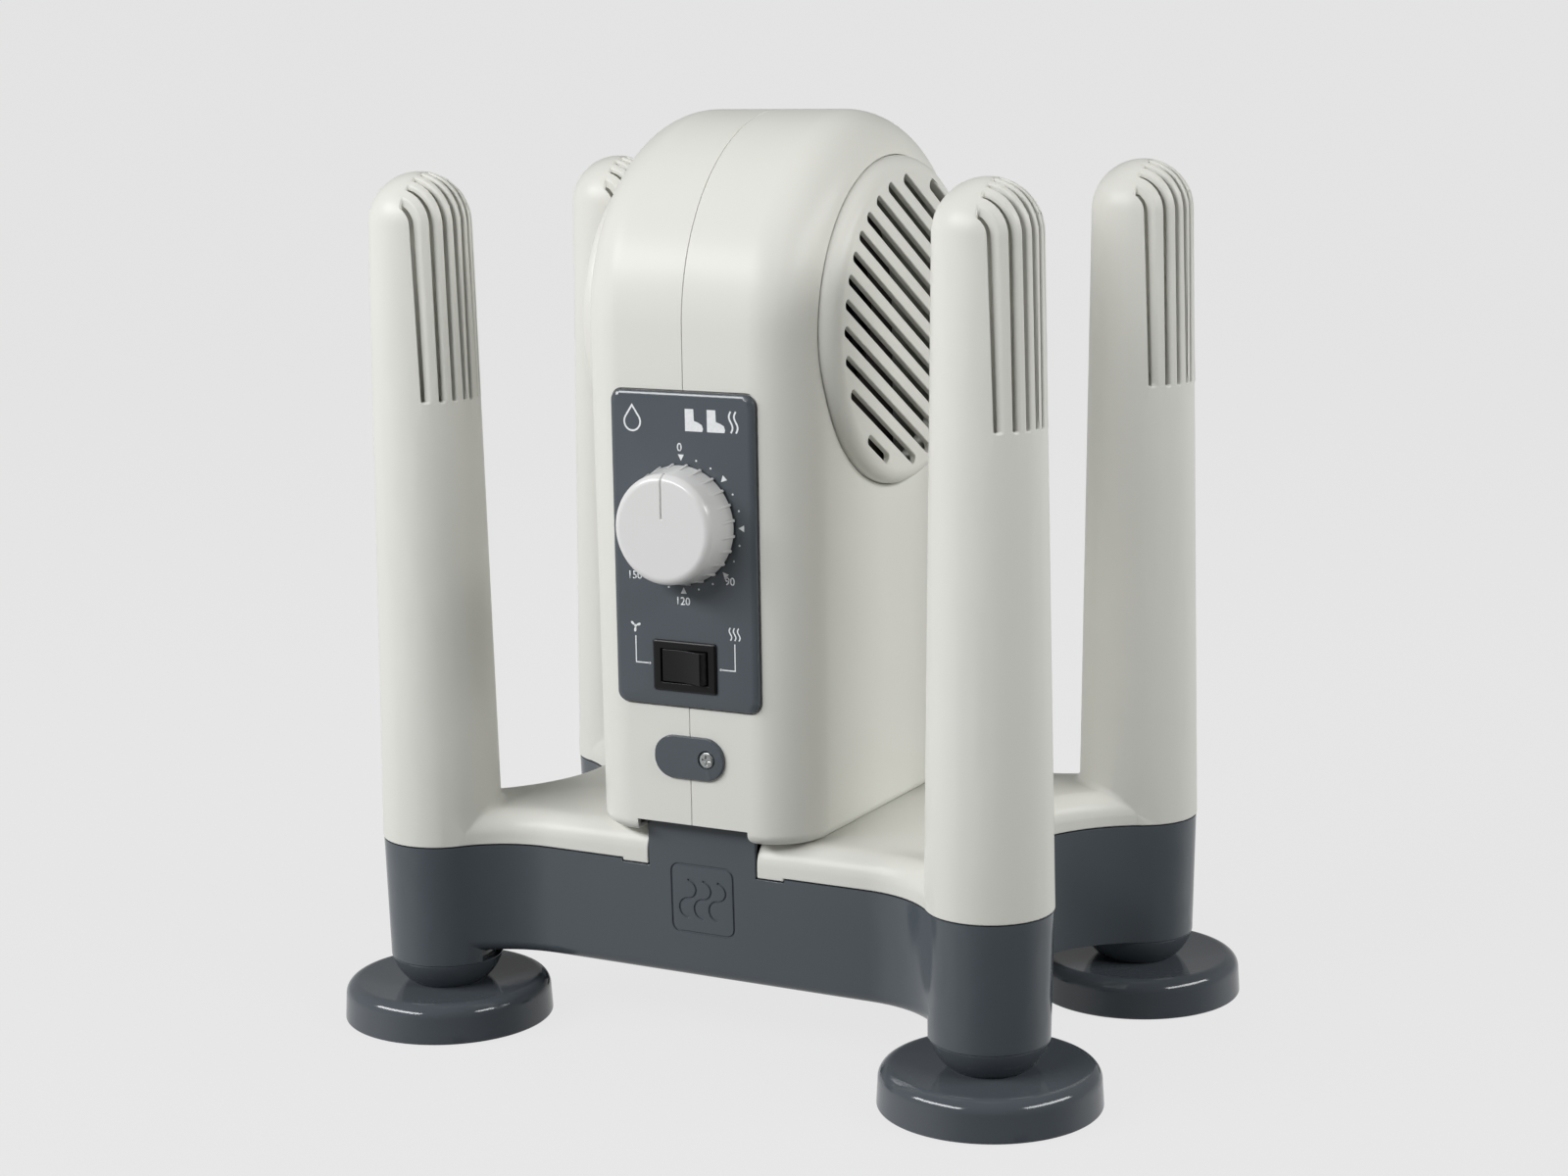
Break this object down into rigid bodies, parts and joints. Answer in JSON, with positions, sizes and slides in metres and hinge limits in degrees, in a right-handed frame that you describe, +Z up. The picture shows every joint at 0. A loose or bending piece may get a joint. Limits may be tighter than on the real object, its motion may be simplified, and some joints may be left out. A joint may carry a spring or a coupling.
{
  "type": "boot dryer",
  "caption": "Forced-air boot dryer: upright fan and heater housing on a waisted base with round feet and slotted upright tubes, timer dial and rocker switch.",
  "frame": {"origin": "on the floor, midway between the feet", "axes": "+Z up, -Y towards the user at the dial, +X to the user's right"},
  "size_m": [0.3484, 0.2498, 0.3881],
  "materials": {
    "housing_white": "glossy warm white moulded plastic",
    "arm_white": "satin warm white moulded plastic",
    "slate_plastic": "satin slate grey moulded plastic",
    "foot_slate": "glossy slate grey moulded plastic",
    "knob_white": "glossy white plastic",
    "switch_black": "satin black plastic",
    "zinc_screw": "zinc plated steel",
    "pad_rubber": "matt soft rubber",
    "timer_plastic": "matt natural nylon",
    "fan_plastic": "matt black fan plastic",
    "shaft_steel": "ground steel",
    "motor_steel": "stacked steel sheet",
    "winding_copper": "enamelled copper wire",
    "bearing_bronze": "sintered bronze",
    "heater_aluminium": "bare aluminium fins",
    "heater_nylon": "matt heat-proof plastic"
  },
  "bodies": {
    "dryer": {"base_tray": "slate_plastic", "bottom_cover": "slate_plastic", "tray_screws": "zinc_screw", "foot_screws": "zinc_screw", "left_arm_cover": "arm_white", "right_arm_cover": "arm_white", "left_housing_half": "housing_white", "right_housing_half": "housing_white", "housing_screws": "zinc_screw", "left_intake_grille": "housing_white", "right_intake_grille": "housing_white", "lock_plate": "slate_plastic", "lock_plate_screw": "zinc_screw", "cord_inlet_bush": "switch_black", "control_panel": "slate_plastic", "timer_body": "timer_plastic", "switch_body": "switch_black", "blower_scroll": "heater_nylon", "motor_stator": "motor_steel", "motor_windings": "winding_copper", "motor_brackets": "zinc_screw", "motor_bearings": "bearing_bronze", "motor_screws": "zinc_screw", "air_duct": "heater_nylon", "heater_frame": "heater_nylon", "heater_core": "heater_aluminium", "thermal_cutout": "zinc_screw", "terminal_block": "timer_plastic", "foot_front_left": "foot_slate", "foot_pad_front_left": "pad_rubber", "foot_front_right": "foot_slate", "foot_pad_front_right": "pad_rubber", "foot_back_left": "foot_slate", "foot_pad_back_left": "pad_rubber", "foot_back_right": "foot_slate", "foot_pad_back_right": "pad_rubber"},
    "knob": {"timer_knob": "knob_white", "timer_shaft": "shaft_steel"},
    "rocker": {"rocker_paddle": "switch_black"},
    "fan": {"fan_impeller": "fan_plastic", "motor_shaft": "shaft_steel", "motor_rotor": "motor_steel"}
  },
  "joints": [
    {"name": "timer_knob_turn", "type": "hinge", "parent": "dryer", "child": "knob", "pos_m": [0, -0.0904, 0.2265], "axis": [0, 1, 0], "range_deg": [0, 270]},
    {"name": "rocker_tilt", "type": "hinge", "parent": "dryer", "child": "rocker", "pos_m": [0, -0.087, 0.1683], "axis": [0, 0, 1], "range_deg": [0, 18]},
    {"name": "fan_spin", "type": "hinge", "parent": "dryer", "child": "fan", "pos_m": [0, -0.0029, 0.302], "axis": [1, 0, 0], "continuous": true}
  ]
}
